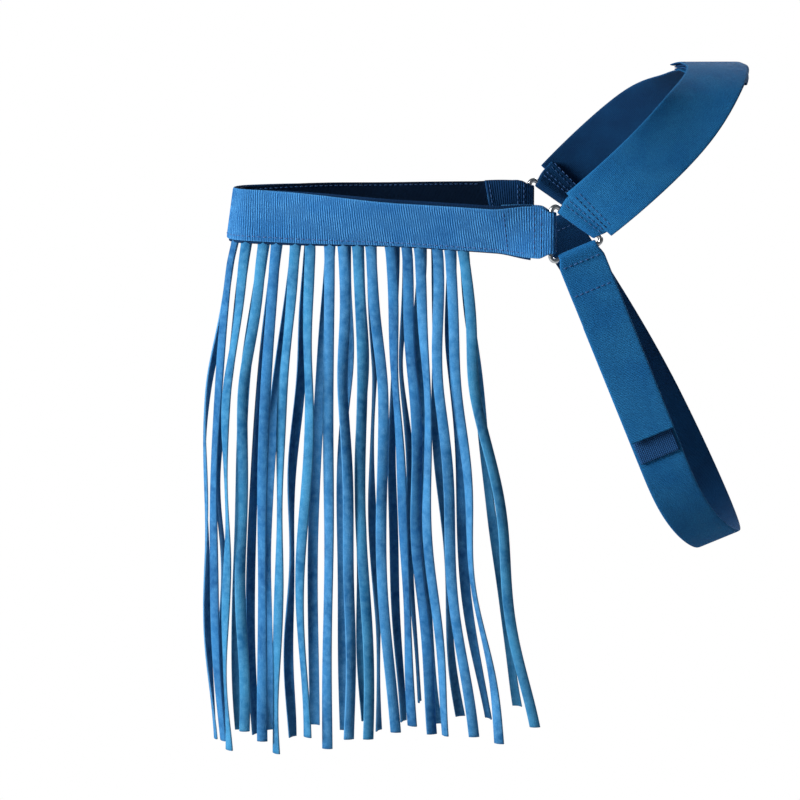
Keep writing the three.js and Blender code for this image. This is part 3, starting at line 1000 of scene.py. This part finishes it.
def crown_row(along, lift, half_width, facing=1):
    """A stitch row across the crown strap."""
    place, across, out = crown_station(along, lift)
    return [(place + across * offset, out * facing) for offset in span(-half_width, half_width, 2)]


def crown_patch_route(lift):
    """Hook or loop tape over the closure, a little inside the strap's edges."""
    return crown_route(LAP_START + 2, LAP_END - 2, lambda along: lift, lambda along: CROWN_WIDTH - 4)


def add_crown():
    def width(along):
        return CROWN_WIDTH

    left = crown_route(STRAP_START, LAP_END, left_lift, width)
    right = crown_route(LAP_START, CROWN_LENGTH - STRAP_START, right_lift, width)
    for name, body, side in (("left", "crown_left", 1), ("right", "headband", -1)):
        node = f"crown_ring_loop_{name}"
        add_web(f"crown_loop_web_{name}", node, body, crown_loop_route(side), CLOTH, STRAP_CLOTH)
    add_web("crown_web_left", "crown_strap_left", "crown_left", left, CLOTH, STRAP_CLOTH)
    add_web("crown_web_right", "crown_strap_right", "headband", right, CLOTH, STRAP_CLOTH)
    hook, loop = crown_patch_route(HOOK_PATCH_LIFT), crown_patch_route(LOOP_PATCH_LIFT)
    add_patch("crown_hook_tape", "crown_hook_patch", "crown_left", hook, HOOKS)
    add_patch("crown_loop_tape", "crown_loop_patch", "headband", loop, LOOPS)


def add_crown_stitches():
    """Two rows hold the loop round the ring, and the rest hold the wide strap on the loop."""
    for side, body, name in ((1, "crown_left", "left"), (-1, "headband", "right")):
        rows = []
        for distance in (4.5, 7, 11, 14, LOOP_LEG - 3):
            along = distance if side > 0 else CROWN_LENGTH - distance
            half = gathered(distance, LOOP_WIDTH, CROWN_PINCH) / 2 - STITCH_INSET
            outer = loop_lift(along, 1) if distance < STRAP_START else LAYER
            rows.append(crown_row(along, outer + WEB / 2, half))
            rows.append(crown_row(along, loop_lift(along, -1) - WEB / 2, half, -1))
        add_stitches(f"crown_stitching_{name}", body, rows)


def throat_row(along, lift, facing):
    """A stitch row across the throat strap."""
    place, across, out = throat_station(along, lift)
    half = throat_width(along) / 2 - STITCH_INSET
    return [(place + across * offset, out * facing) for offset in span(-half, half, 2)]


def add_throat():
    tab, long_strap = throat_tab_route(), throat_long_route()
    add_web("throat_tab_web", "throat_tab_left", "throat_left", tab, CLOTH, STRAP_CLOTH)
    add_web("throat_long_web", "throat_strap_right", "throat_right", long_strap, CLOTH, STRAP_CLOTH)

    def width(along):
        return THROAT_WIDTH - 3

    hook = throat_route(52, TAB_LENGTH - 3, lambda along: THROAT_HOOK_LIFT, width)
    loop = throat_route(LONG_END + 3, THROAT_DROP, lambda along: THROAT_LOOP_LIFT, width)
    add_patch("throat_hook_tape", "throat_hook_patch", "throat_left", hook, HOOKS)
    add_patch("throat_loop_tape", "throat_loop_patch", "throat_right", loop, LOOPS)


def add_throat_stitches():
    for side, body, name in ((1, "throat_left", "left"), (-1, "throat_right", "right")):
        rows = []
        for distance in (5.5, THROAT_TAIL - 3):
            along = distance if side > 0 else THROAT_LENGTH - distance
            for facing in (1, -1):
                lift = facing * (leg_lift(along) + WEB / 2)
                rows.append(throat_row(along, lift, facing))
        add_stitches(f"throat_stitching_{name}", body, rows)


# ---- Studio ----

KEY_PLACE = (0.75, -1.75, 0.25)
KEY_POWER = 56
FILL_PLACE = (-1.4, 0.7, 0.5)
FILL_POWER = 26
PALE = (1.0, 1.0, 1.0, 1.0)


def add_light(name, place, power, size):
    data = bpy.data.lights.new(name, "AREA")
    data.energy = power
    data.size = size
    point_at(bpy.data.objects.new(name, data), place, CAMERA_TARGET)


def seen_by_camera(tree, seen, unseen):
    """One shader for what the camera sees and another for the light it gives."""
    path = tree.nodes.new("ShaderNodeLightPath")
    mix = tree.nodes.new("ShaderNodeMixShader")
    tree.links.new(path.outputs["Is Camera Ray"], mix.inputs[0])
    tree.links.new(unseen, mix.inputs[1])
    tree.links.new(seen, mix.inputs[2])
    return mix.outputs[0]


def add_world():
    world = bpy.data.worlds.new("studio")
    bpy.context.scene.world = world
    world.use_nodes = True
    tree = world.node_tree
    shown = tree.nodes["Background"]
    shown.inputs["Color"].default_value = PALE
    dim = tree.nodes.new("ShaderNodeBackground")
    dim.inputs["Color"].default_value = (0.8, 0.9, 1.0, 1.0)
    dim.inputs["Strength"].default_value = 0.12
    mixed = seen_by_camera(tree, shown.outputs[0], dim.outputs[0])
    tree.links.new(mixed, tree.nodes["World Output"].inputs["Surface"])


def add_floor():
    size, height = 12.0, -0.75
    mesh = bpy.data.meshes.new("floor")
    corners = [(x * size, y * size, height) for x, y in ((-1, -1), (1, -1), (1, 1), (-1, 1))]
    mesh.from_pydata(corners, [], [(0, 1, 2, 3)])
    floor = bpy.data.objects.new("floor", mesh)
    bpy.context.scene.collection.objects.link(floor)
    surface = Surface("floor", Base_Color=(0.5, 0.5, 0.5, 1), Roughness=0.9)
    tree = surface.tree
    glow = tree.nodes.new("ShaderNodeEmission")
    glow.inputs["Color"].default_value = PALE
    mixed = seen_by_camera(tree, glow.outputs[0], surface.shader.outputs[0])
    tree.links.new(mixed, tree.nodes["Material Output"].inputs["Surface"])
    mesh.materials.append(surface.material)


add_camera()
add_strings()
add_ring(1)
add_ring(-1)
add_browband()
add_browband_stitches()
add_crown()
add_crown_stitches()
add_throat()
add_throat_stitches()
add_light("key", KEY_PLACE, KEY_POWER, 0.7)
add_light("fill", FILL_PLACE, FILL_POWER, 1.0)
add_world()
add_floor()
bpy.context.scene.view_settings.view_transform = "Standard"
